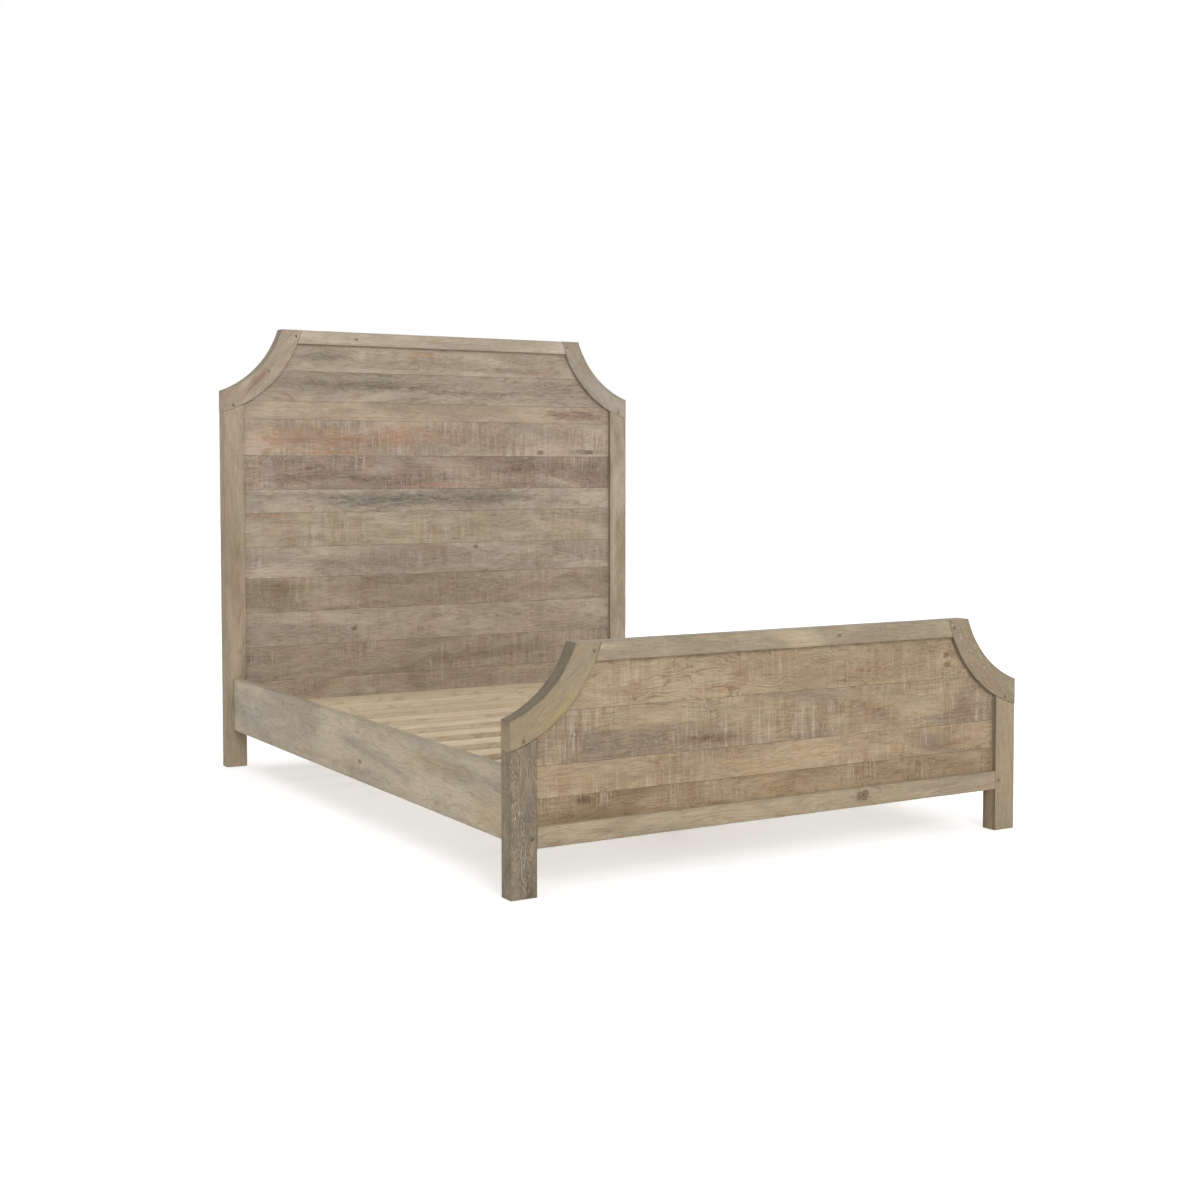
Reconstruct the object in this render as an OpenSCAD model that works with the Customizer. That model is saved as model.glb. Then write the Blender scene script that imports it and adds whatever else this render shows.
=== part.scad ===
// Queen-size wooden bed frame: a frame-and-panel headboard and footboard with
// scalloped corners, two side rails bolted between them, and a slatted deck on
// ledgers and a centre beam. X is the width, +Y runs towards the headboard and
// +Z is up. The origin is on the floor, under the middle of the frame.

/* [Mattress and deck] */
// Width of the mattress that lies in the frame
mattress_w = 1524; // [1372:1:1930]
// Length of the mattress
mattress_l = 2032; // [1905:1:2134]
// Air between the mattress and each side rail
side_air = 25; // [10:1:40]
// Air between the mattress and each board
end_air = 25; // [10:1:40]
// Height of the slats' top face above the floor
deck_h = 235; // [225:1:270]

/* [Boards] */
// Thickness of the posts, rails and scallops
frame_t = 50; // [44:1:70]
// Width of a post
post_w = 75; // [66:1:100]
// Height of a top rail
top_rail_h = 50; // [44:1:80]
// Height of a bottom rail
bottom_rail_h = 54; // [48:1:80]
// Height of a bottom rail's lower edge above the floor
bottom_rail_z = 120; // [100:1:140]
// Width of the curved scallop pieces
scallop_w = 73; // [62:1:90]

/* [Headboard] */
// Overall height of the headboard
head_h = 1562; // [1200:1:1800]
// Width of a headboard scallop's hollow
head_hollow_w = 220; // [190:1:260]
// Depth of a headboard scallop's hollow
head_hollow_h = 223; // [190:1:260]
// Radius of a headboard scallop's hollow
head_r = 355; // [280:1:450]

/* [Footboard] */
// Overall height of the footboard
foot_h = 623; // [540:1:800]
// Width of a footboard scallop's hollow
foot_hollow_w = 184; // [160:1:220]
// Depth of a footboard scallop's hollow
foot_hollow_h = 182; // [160:1:210]
// Radius of a footboard scallop's hollow
foot_r = 294; // [230:1:380]

/* [Panel planks] */
// Thickness of a plank
plank_t = 22; // [16:1:26]
// Depth of the groove that holds the planks' ends
groove_d = 12; // [8:1:14]
// Thickness and height of a plank's tongue
tongue = 7; // [5:0.5:8]

/* [Side rails] */
// Thickness of a side rail
side_rail_t = 26; // [20:1:32]
// Height of a side rail
side_rail_h = 185; // [170:1:240]
// Height of a side rail's lower edge above the floor
side_rail_z = 131; // [120:1:140]
// Distance of a side rail's outer face in from the posts' outer sides
side_rail_inset = 25; // [0:1:28]
// Width of a ledger
ledger_w = 30; // [24:1:40]
// Height of a ledger
ledger_h = 35; // [28:1:45]

/* [Slats and centre support] */
// Width of a slat
slat_w = 95; // [70:1:120]
// Thickness of a slat
slat_t = 18; // [14:1:22]
// Width of the centre beam
beam_w = 40; // [34:1:60]
// Height of the centre beam
beam_h = 70; // [50:1:80]
// Side of a square centre leg
leg_w = 45; // [38:1:60]
// Distance between centre legs
leg_pitch = 590; // [450:5:700]
// Diameter of a levelling foot's pad
pad_d = 38; // [30:1:50]

/* [Hidden] */
$fn = 96;

// Clearances: sliding wood, a round fastener in its hole, a piece that moves
fit_gap = 0.3;
hole_gap = 0.15;
run_gap = 0.3;
joint_gap = 1;

// Fasteners: radii and lengths
peg_r = 4;
peg_l = 36;
bolt_r = 4;
bolt_head_r = 6.5;
bolt_head_h = 5;
insert_r = 6;
insert_l = 12;
screw_r = 2.5;
screw_head_r = 4.6;
screw_head_h = 2.4;
bracket_screw_l = 20;
ledger_screw_l = 46;
slat_screw_r = 2;
slat_screw_head_r = 4;
slat_screw_l = 30;
steel_t = 3;

// Tenons: the loose ones across the scallops' seams, and the bottom rails' own
tenon_t = 14;
loose_tenon_l = 50;
post_tenon_w = 36;
rail_tenon_w = 22;
bottom_tenon_l = 30;
bottom_tenon_h = 30;

// Overall sizes
overall_w = mattress_w + 2 * (side_air + side_rail_t + side_rail_inset);
inner_l = mattress_l + 2 * end_air;
overall_l = inner_l + 2 * frame_t;
rail_x = overall_w / 2 - side_rail_inset - side_rail_t;
panel_in = (frame_t - plank_t) / 2;
panel_z = bottom_rail_z + bottom_rail_h;

// A board: [height, hollow width, hollow depth, hollow radius, front face's y,
// the planks' widths from the top down, in proportion]
head = [head_h, head_hollow_w, head_hollow_h, head_r, inner_l / 2,
        [97, 110, 65, 130, 123, 84, 123, 112, 123, 124, 124, 123]];
foot = [foot_h, foot_hollow_w, foot_hollow_h, foot_r, -overall_l / 2,
        [119, 133, 82, 66]];

// Centre of a scallop's arcs, across from the post's outer side and up
function chord(b) = sqrt(b[1] * b[1] + b[2] * b[2]);
function rise(b) = sqrt(b[3] * b[3] - chord(b) * chord(b) / 4);
function arc_x(b) = b[1] / 2 - rise(b) * b[2] / chord(b);
function arc_z(b) = b[0] - b[2] / 2 + rise(b) * b[1] / chord(b);

// The seam under a scallop: its height at x on the post, and its x in the rail
function seam_z(b, x) = arc_z(b) - sqrt(pow(b[3] + scallop_w, 2) - pow(x - arc_x(b), 2));
function seam_x(b, z) = arc_x(b) + sqrt(pow(b[3] + scallop_w, 2) - pow(arc_z(b) - z, 2));

// Pegs on the left half of a board, across from the post's outer side and up
rail_tenon_z = 24;
function post_peg(b) = [post_w / 2, seam_z(b, post_w / 2) + 11];
function rail_peg(b) = [seam_x(b, b[0] - rail_tenon_z) - 14, b[0] - rail_tenon_z];
bottom_peg = [post_w - 13, bottom_rail_z + 25];
function pegs(b) = [post_peg(b), rail_peg(b), bottom_peg];

// Planks: the sum of the first n widths, and the height of plank n's top edge
function part_sum(v, n) = n == 0 ? 0 : v[n - 1] + part_sum(v, n - 1);
function plank_top(b, n) =
    let(open_h = b[0] - top_rail_h - panel_z)
    b[0] - top_rail_h - open_h * part_sum(b[5], n) / part_sum(b[5], len(b[5]));

// The deck and what carries it
ledger_top = deck_h - slat_t;
slat_count = 11;
slat_gap = (inner_l - slat_count * slat_w) / (slat_count + 1);
slat_l = 2 * (rail_x - 7);
slat_screw_x = rail_x - 17;
beam_z = ledger_top - beam_h;
beam_l = inner_l - 2 * (steel_t + fit_gap);
leg_z = 18;
leg_ys = [-leg_pitch, 0, leg_pitch];
pad_h = 8;
stem_l = 40;
stud_l = 60;

// Corner brackets: between the ledger and the side rail's top edge
bracket_z = ledger_top + 8;
bracket_h = side_rail_z + side_rail_h - 10 - bracket_z;
bracket_l = 60;
bracket_w = rail_x - (overall_w / 2 - post_w) - 1;
bracket_zs = [bracket_z + bracket_h / 4, bracket_z + bracket_h * 3 / 4];
bracket_screw_ys = [18, 45];
bolt_x = rail_x - 13;

// Beam hangers, each on the inner face of a bottom rail
hanger_w = 92;
hanger_reach = 45;
hanger_cheek_h = min(50, beam_h - 10);
hanger_z = bottom_rail_z + 2;
hanger_screw_x = 36;
hanger_screw_zs = [hanger_z + 10, hanger_z + 28];

// Ledger screws
ledger_screws_n = 8;
ledger_l = inner_l - 40;

// ---- Shared shapes ----

// Mirrors its children to the other side for side -1 (left) or 1 (right),
// which are drawn on the left
module on_side(side) {
    mirror([side > 0 ? 1 : 0, 0, 0]) children();
}

// Both ends of the bed: children are drawn at the headboard
module each_corner() {
    for (side = [-1, 1], end = [0, 1])
        mirror([0, end, 0]) on_side(side) children();
}

// A cylinder along Y from y, centred at x from the left post's outer side
module across(x, z, y, r, l) {
    translate([x - overall_w / 2, y + l, z]) rotate([90, 0, 0]) cylinder(r = r, h = l);
}

// The round plug of a scallop's arc, longer than the board is thick
module arc_plug(b, r) {
    across(arc_x(b), arc_z(b), b[4] - 1, r, frame_t + 2);
}

// A box in the board's own terms: x from the post's outer side, y from the
// front face, z from the floor
module board_box(b, at, size) {
    translate([at[0] - overall_w / 2, b[4] + at[1], at[2]]) cube(size);
}

// Loose tenons on the left half of a board, grown by gap on every side
module post_tenon(b, gap) {
    x = post_w / 2;
    board_box(b, [x - post_tenon_w / 2 - gap, (frame_t - tenon_t) / 2 - gap,
                  seam_z(b, x) - loose_tenon_l / 2 - gap],
              [post_tenon_w + 2 * gap, tenon_t + 2 * gap, loose_tenon_l + 2 * gap]);
}

module rail_tenon(b, gap) {
    z = b[0] - rail_tenon_z;
    board_box(b, [seam_x(b, z) - loose_tenon_l / 2 - gap, (frame_t - tenon_t) / 2 - gap,
                  z - rail_tenon_w / 2 - gap],
              [loose_tenon_l + 2 * gap, tenon_t + 2 * gap, rail_tenon_w + 2 * gap]);
}

// The bottom rail's tenon in the left post
module bottom_tenon(b, gap) {
    board_box(b, [post_w - bottom_tenon_l - gap, (frame_t - tenon_t) / 2 - gap,
                  bottom_rail_z + 8 - gap],
              [bottom_tenon_l + 1 + gap, tenon_t + 2 * gap, bottom_tenon_h + 2 * gap]);
}

// Peg holes on the left half of a board
module peg_holes(b) {
    for (p = pegs(b))
        across(p[0], p[1], b[4] - 1, peg_r + hole_gap, peg_l + 1 + fit_gap);
}

// The groove round the panel, on the left half of a board
module panel_groove(b) {
    y = panel_in - fit_gap;
    w = plank_t + 2 * fit_gap;
    intersection() {
        board_box(b, [post_w - groove_d, y, panel_z - groove_d],
                  [overall_w / 2 - post_w + groove_d, w,
                   b[0] - top_rail_h + groove_d - (panel_z - groove_d)]);
        difference() {
            board_box(b, [0, 0, 0], [overall_w / 2, frame_t, b[0]]);
            arc_plug(b, b[3] + scallop_w - groove_d);
        }
    }
}

// Bolt and insert holes for one corner, drawn at the head's left
module bolt_holes() {
    for (z = bracket_zs) {
        translate([-bolt_x, inner_l / 2 - 1, z]) rotate([-90, 0, 0])
            cylinder(r = insert_r + hole_gap, h = insert_l + 1.5);
    }
}

// ---- Headboard and footboard ----

module post(b, side) {
    at_foot = b[4] < 0 ? 1 : 0;
    color([0.64, 0.58, 0.47]) on_side(side) difference() {
        board_box(b, [0, 0, 0], [post_w, frame_t, b[0]]);
        arc_plug(b, b[3] + scallop_w);
        panel_groove(b);
        post_tenon(b, fit_gap);
        bottom_tenon(b, fit_gap);
        peg_holes(b);
        mirror([0, at_foot, 0]) bolt_holes();
    }
}

module scallop(b, side) {
    color([0.67, 0.61, 0.48]) on_side(side) difference() {
        intersection() {
            board_box(b, [0, 0, b[0] - b[2] - 1.3 * scallop_w],
                      [b[1] + 1.3 * scallop_w, frame_t, b[2] + 1.3 * scallop_w]);
            arc_plug(b, b[3] + scallop_w);
        }
        arc_plug(b, b[3]);
        panel_groove(b);
        post_tenon(b, fit_gap);
        rail_tenon(b, fit_gap);
        peg_holes(b);
    }
}

module top_rail(b) {
    color([0.66, 0.60, 0.48]) difference() {
        board_box(b, [b[1], 0, b[0] - top_rail_h],
                  [overall_w - 2 * b[1], frame_t, top_rail_h]);
        for (side = [-1, 1]) on_side(side) {
            arc_plug(b, b[3] + scallop_w);
            panel_groove(b);
            rail_tenon(b, fit_gap);
        }
    }
}

module bottom_rail(b) {
    color([0.62, 0.56, 0.45]) difference() {
        union() {
            board_box(b, [post_w, 0, bottom_rail_z],
                      [overall_w - 2 * post_w, frame_t, bottom_rail_h]);
            for (side = [-1, 1]) on_side(side) bottom_tenon(b, 0);
        }
        for (side = [-1, 1]) on_side(side) {
            panel_groove(b);
            peg_holes(b);
        }
        hanger_holes();
    }
}

// Plank n, counted from the top, with a tongue on its upper edge and a groove
// in its lower one
module plank(b, n) {
    last = len(b[5]);
    x = post_w - groove_d + joint_gap;
    w = overall_w - 2 * x;
    top = plank_top(b, n - 1) + (n == 1 ? groove_d - joint_gap : 0);
    low = plank_top(b, n) - (n == last ? groove_d - joint_gap : 0);
    mid = frame_t / 2;
    shade = 0.04 * sin(n * 140);
    color([0.60 + shade, 0.52 + shade, 0.41 + shade]) difference() {
        union() {
            board_box(b, [x, panel_in, low], [w, plank_t, top - low]);
            if (n > 1)
                board_box(b, [x, mid - tongue / 2, top - 1], [w, tongue, tongue + 1]);
        }
        if (n < last)
            board_box(b, [x - 1, mid - tongue / 2 - fit_gap, low - 1],
                      [w + 2, tongue + 2 * fit_gap, tongue + 1 + joint_gap]);
        for (side = [-1, 1]) on_side(side)
            arc_plug(b, b[3] + scallop_w - groove_d + joint_gap);
    }
}

module loose_tenons() {
    color([0.72, 0.62, 0.46])
        for (b = [head, foot], side = [-1, 1]) on_side(side) difference() {
            union() {
                post_tenon(b, 0);
                rail_tenon(b, 0);
            }
            peg_holes(b);
        }
}

module joint_pegs() {
    color([0.33, 0.26, 0.18])
        for (b = [head, foot], side = [-1, 1], p = pegs(b)) on_side(side)
            across(p[0], p[1], b[4], peg_r, peg_l);
}

// ---- Side rails, ledgers and their steel ----

module side_rail(side) {
    color([0.65, 0.59, 0.48]) on_side(side) difference() {
        translate([-rail_x - side_rail_t, -inner_l / 2, side_rail_z])
            cube([side_rail_t, inner_l, side_rail_h]);
        for (end = [0, 1]) mirror([0, end, 0]) bracket_screw_set(hole_gap);
        ledger_screw_row(hole_gap);
    }
}

module ledger(side) {
    color([0.74, 0.66, 0.50]) on_side(side) difference() {
        translate([-rail_x, -ledger_l / 2, ledger_top - ledger_h])
            cube([ledger_w, ledger_l, ledger_h]);
        ledger_screw_row(hole_gap);
        for (i = [1:slat_count]) slat_screw(i, hole_gap);
    }
}

// Screws through the left ledger into the left rail, heads flush with the ledger
module ledger_screw_row(gap) {
    step = ledger_l / ledger_screws_n;
    z = ledger_top - ledger_h / 2;
    for (i = [0:ledger_screws_n - 1])
        translate([-rail_x + ledger_w, -ledger_l / 2 + (i + 0.5) * step, z])
            rotate([0, -90, 0]) {
                cylinder(r = screw_r + gap, h = ledger_screw_l + gap);
                cylinder(r1 = screw_head_r + gap, r2 = screw_r + gap, h = screw_head_h);
            }
}

module ledger_screws() {
    color([0.72, 0.70, 0.62]) for (side = [-1, 1]) on_side(side) ledger_screw_row(0);
}

// The bracket in the head's left corner: one leg on the rail, one on the post
module corner_bracket() {
    difference() {
        translate([-rail_x, inner_l / 2 - bracket_l, bracket_z])
            cube([bracket_w, bracket_l, bracket_h]);
        translate([-rail_x + steel_t, inner_l / 2 - bracket_l - 1, bracket_z - 1])
            cube([bracket_w, bracket_l + 1 - steel_t, bracket_h + 2]);
        for (z = bracket_zs) {
            translate([-bolt_x, inner_l / 2 - steel_t - 1, z]) rotate([-90, 0, 0])
                cylinder(r = bolt_r + hole_gap, h = steel_t + 2);
        }
        bracket_screw_set(hole_gap);
    }
}

module corner_brackets() {
    color([0.25, 0.25, 0.26]) each_corner() corner_bracket();
}

// Pan-head screws that hold a bracket to its rail, in the head's left corner
module bracket_screw_set(gap) {
    for (y = bracket_screw_ys, z = bracket_zs)
        translate([-rail_x + steel_t, inner_l / 2 - y, z]) rotate([0, -90, 0])
            pan_screw(gap);
}

// A pan-head screw whose shank runs along +Z from the head's underside
module pan_screw(gap) {
    cylinder(r = screw_r + gap, h = bracket_screw_l + gap);
    translate([0, 0, -screw_head_h]) cylinder(r = screw_head_r, h = screw_head_h);
}

module rail_bolts() {
    color([0.20, 0.20, 0.21]) each_corner()
        for (z = bracket_zs)
            translate([-bolt_x, inner_l / 2 - steel_t - bolt_head_h, z])
                rotate([-90, 0, 0]) difference() {
                    union() {
                        cylinder(r = bolt_head_r, h = bolt_head_h);
                        cylinder(r = bolt_r, h = bolt_head_h + steel_t + insert_l - 1);
                    }
                    translate([0, 0, -1]) cylinder(r = 2.9, h = 4, $fn = 6);
                }
}

// A ring-shaped threaded insert along +Z
module insert_ring() {
    difference() {
        cylinder(r = insert_r, h = insert_l);
        translate([0, 0, -1]) cylinder(r = bolt_r + run_gap, h = insert_l + 2);
    }
}

module threaded_inserts() {
    color([0.75, 0.66, 0.40]) {
        each_corner() for (z = bracket_zs)
            translate([-bolt_x, inner_l / 2, z]) rotate([-90, 0, 0]) insert_ring();
        for (y = leg_ys) translate([0, y, leg_z]) insert_ring();
    }
}

module bracket_screws() {
    color([0.72, 0.70, 0.62]) {
        each_corner() bracket_screw_set(0);
        for (end = [0, 1]) mirror([0, end, 0]) hanger_screw_set(0);
    }
}

// ---- Centre beam, its hangers and its legs ----

// Screws of the head's hanger: four into the bottom rail, one in each cheek
module hanger_screw_set(gap) {
    for (side = [-1, 1]) {
        for (z = hanger_screw_zs)
            translate([side * hanger_screw_x, inner_l / 2 - steel_t, z])
                rotate([-90, 0, 0]) pan_screw(gap);
        translate([side * (beam_w / 2 + fit_gap + steel_t),
                   inner_l / 2 - hanger_reach / 2 + side * 6, beam_z + hanger_cheek_h / 2])
            rotate([0, -side * 90, 0]) pan_screw(gap);
    }
}

module hanger_holes() {
    for (end = [0, 1]) mirror([0, end, 0]) hanger_screw_set(hole_gap);
}

// The steel saddle at the head: a plate on the rail, a floor and two cheeks
module beam_hanger() {
    w = beam_w + 2 * (fit_gap + steel_t);
    y = inner_l / 2 - hanger_reach;
    top = beam_z + hanger_cheek_h;
    difference() {
        union() {
            translate([-hanger_w / 2, inner_l / 2 - steel_t, hanger_z])
                cube([hanger_w, steel_t, top - hanger_z]);
            translate([-w / 2, y, beam_z - steel_t]) cube([w, hanger_reach, steel_t]);
            for (side = [-1, 1])
                translate([side * (w - steel_t) / 2 - steel_t / 2, y, beam_z - steel_t])
                    cube([steel_t, hanger_reach, top - beam_z + steel_t]);
        }
        hanger_screw_set(hole_gap);
    }
}

module beam_hangers() {
    color([0.25, 0.25, 0.26]) for (end = [0, 1]) mirror([0, end, 0]) beam_hanger();
}

module centre_beam() {
    color([0.74, 0.66, 0.50]) difference() {
        translate([-beam_w / 2, -beam_l / 2, beam_z]) cube([beam_w, beam_l, beam_h]);
        hanger_holes();
        for (y = leg_ys) translate([0, y, beam_z - 1])
            cylinder(r = bolt_r + hole_gap, h = stud_l / 2 + 1 + fit_gap);
    }
}

module centre_leg(n) {
    color([0.70, 0.62, 0.47]) difference() {
        translate([-leg_w / 2, leg_ys[n] - leg_w / 2, leg_z])
            cube([leg_w, leg_w, beam_z - leg_z]);
        translate([0, leg_ys[n], leg_z - 1])
            cylinder(r = insert_r + hole_gap, h = insert_l + 1);
        translate([0, leg_ys[n], leg_z - 1])
            cylinder(r = bolt_r + run_gap, h = stem_l + 6);
        translate([0, leg_ys[n], beam_z - stud_l / 2 - fit_gap])
            cylinder(r = bolt_r + hole_gap, h = stud_l);
    }
}

module leg_studs() {
    color([0.72, 0.70, 0.62])
        for (y = leg_ys) translate([0, y, beam_z - stud_l / 2])
            cylinder(r = bolt_r, h = stud_l);
}

// A pad on a threaded stem, which screws up into the leg's insert
module levelling_foot(n) {
    color([0.15, 0.15, 0.15]) translate([0, leg_ys[n], 0]) {
        cylinder(r1 = pad_d / 2, r2 = pad_d / 2 - 3, h = pad_h);
        cylinder(r = bolt_r, h = pad_h + stem_l);
    }
}

// ---- Slats ----

function slat_y(n) = -inner_l / 2 + n * slat_gap + (n - 0.5) * slat_w;

module slat(n) {
    color([0.80, 0.72, 0.55]) difference() {
        translate([-slat_l / 2, slat_y(n) - slat_w / 2, ledger_top])
            cube([slat_l, slat_w, slat_t]);
        for (side = [-1, 1]) on_side(side) slat_screw(n, hole_gap);
    }
}

// The countersunk screw at slat n's left end
module slat_screw(n, gap) {
    translate([-slat_screw_x, slat_y(n), deck_h]) rotate([180, 0, 0]) {
        cylinder(r = slat_screw_r + gap, h = slat_screw_l + gap);
        cylinder(r1 = slat_screw_head_r + gap, r2 = slat_screw_r + gap, h = 2.2);
    }
}

module slat_screws() {
    color([0.72, 0.70, 0.62])
        for (n = [1:slat_count], side = [-1, 1]) on_side(side) slat_screw(n, 0);
}

// ---- Nodes ----

post(head, -1);  // head_post_left
post(head, 1);  // head_post_right
scallop(head, -1);  // head_scallop_left
scallop(head, 1);  // head_scallop_right
top_rail(head);  // head_top_rail
bottom_rail(head);  // head_bottom_rail
for (n = [1:12])
    plank(head, n);
post(foot, -1);  // foot_post_left
post(foot, 1);  // foot_post_right
scallop(foot, -1);  // foot_scallop_left
scallop(foot, 1);  // foot_scallop_right
top_rail(foot);  // foot_top_rail
bottom_rail(foot);  // foot_bottom_rail
for (n = [1:4])
    plank(foot, n);
loose_tenons();
joint_pegs();
side_rail(-1);  // side_rail_left
side_rail(1);  // side_rail_right
ledger(-1);  // ledger_left
ledger(1);  // ledger_right
corner_brackets();
rail_bolts();
threaded_inserts();
bracket_screws();
ledger_screws();
centre_beam();
beam_hangers();
leg_studs();
for (n = [1:3]) {
    centre_leg(n - 1);
    levelling_foot(n - 1);
}
for (n = [1:slat_count])
    slat(n);
slat_screws();
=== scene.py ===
import bpy
import bmesh
import math
import random
from mathutils import Matrix, Vector, noise


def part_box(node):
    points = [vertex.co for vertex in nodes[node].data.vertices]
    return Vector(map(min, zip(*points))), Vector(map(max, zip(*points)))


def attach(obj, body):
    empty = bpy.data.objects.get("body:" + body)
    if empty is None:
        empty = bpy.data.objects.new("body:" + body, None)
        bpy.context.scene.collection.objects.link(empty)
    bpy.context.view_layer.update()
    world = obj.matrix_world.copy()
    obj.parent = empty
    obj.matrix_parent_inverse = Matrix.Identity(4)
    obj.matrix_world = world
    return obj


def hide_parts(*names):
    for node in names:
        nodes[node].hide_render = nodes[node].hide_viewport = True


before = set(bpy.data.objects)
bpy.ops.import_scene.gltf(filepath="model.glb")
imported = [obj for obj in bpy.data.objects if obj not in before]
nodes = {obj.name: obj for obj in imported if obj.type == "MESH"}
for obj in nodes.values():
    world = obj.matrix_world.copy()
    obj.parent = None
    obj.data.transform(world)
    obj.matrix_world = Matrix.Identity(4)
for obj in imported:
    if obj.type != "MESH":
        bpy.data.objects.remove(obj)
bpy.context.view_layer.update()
print("frame loaded:", len(nodes), "nodes")


# Colours are written as 0-255 numbers and turned into the shader's linear ones
def linear(colour):
    return [((c / 255 + 0.055) / 1.055) ** 2.4 for c in colour] + [1.0]


def toned(colour, factor):
    return [min(255, c * factor) for c in colour]


# Adds a node with its settings, and links or sets its inputs
def addNode(tree, kind, inputs=None, **settings):
    node = tree.nodes.new("ShaderNode" + kind)
    for key, value in settings.items():
        setattr(node, key, value)
    for key, value in (inputs or {}).items():
        if isinstance(value, bpy.types.NodeSocket):
            tree.links.new(value, node.inputs[key])
        else:
            node.inputs[key].default_value = value
    return node


def calc(tree, operation, a, b=0.0):
    return addNode(tree, "Math", {0: a, 1: b}, operation=operation).outputs[0]


def product(tree, a, b):
    return calc(tree, "MULTIPLY", a, b)


def total(tree, a, b):
    return calc(tree, "ADD", a, b)


def vectorCalc(tree, operation, a, b):
    return addNode(tree, "VectorMath", {0: a, 1: b}, operation=operation).outputs[0]


def mixColour(tree, factor, a, b, mode="MIX"):
    node = addNode(tree, "Mix", {0: factor, 6: a, 7: b}, data_type="RGBA", blend_type=mode)
    return node.outputs[2]


# A soft step from 0 at low to 1 at high
def softStep(tree, value, low, high):
    inputs = {"Value": value, "From Min": low, "From Max": high}
    node = addNode(tree, "MapRange", inputs, interpolation_type="SMOOTHSTEP")
    return node.outputs["Result"]


# Noise with its own number of cycles per metre along, across and into the grain
def grainNoise(tree, vector, cycles, detail=2.0, rough=0.5, twist=0.0):
    spread = vectorCalc(tree, "MULTIPLY", vector, cycles)
    inputs = {"Vector": spread, "Scale": 1.0, "Detail": detail, "Roughness": rough,
              "Distortion": twist}
    return addNode(tree, "TexNoise", inputs).outputs[0]


# A new material, with its node tree and its shader
def newMaterial(name):
    material = bpy.data.materials.new(name)
    material.use_nodes = True
    return material, material.node_tree, material.node_tree.nodes["Principled BSDF"]


def addBump(tree, surface, height, strength, distance):
    inputs = {"Height": height, "Strength": strength, "Distance": distance}
    tree.links.new(addNode(tree, "Bump", inputs).outputs[0], surface.inputs["Normal"])


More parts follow.
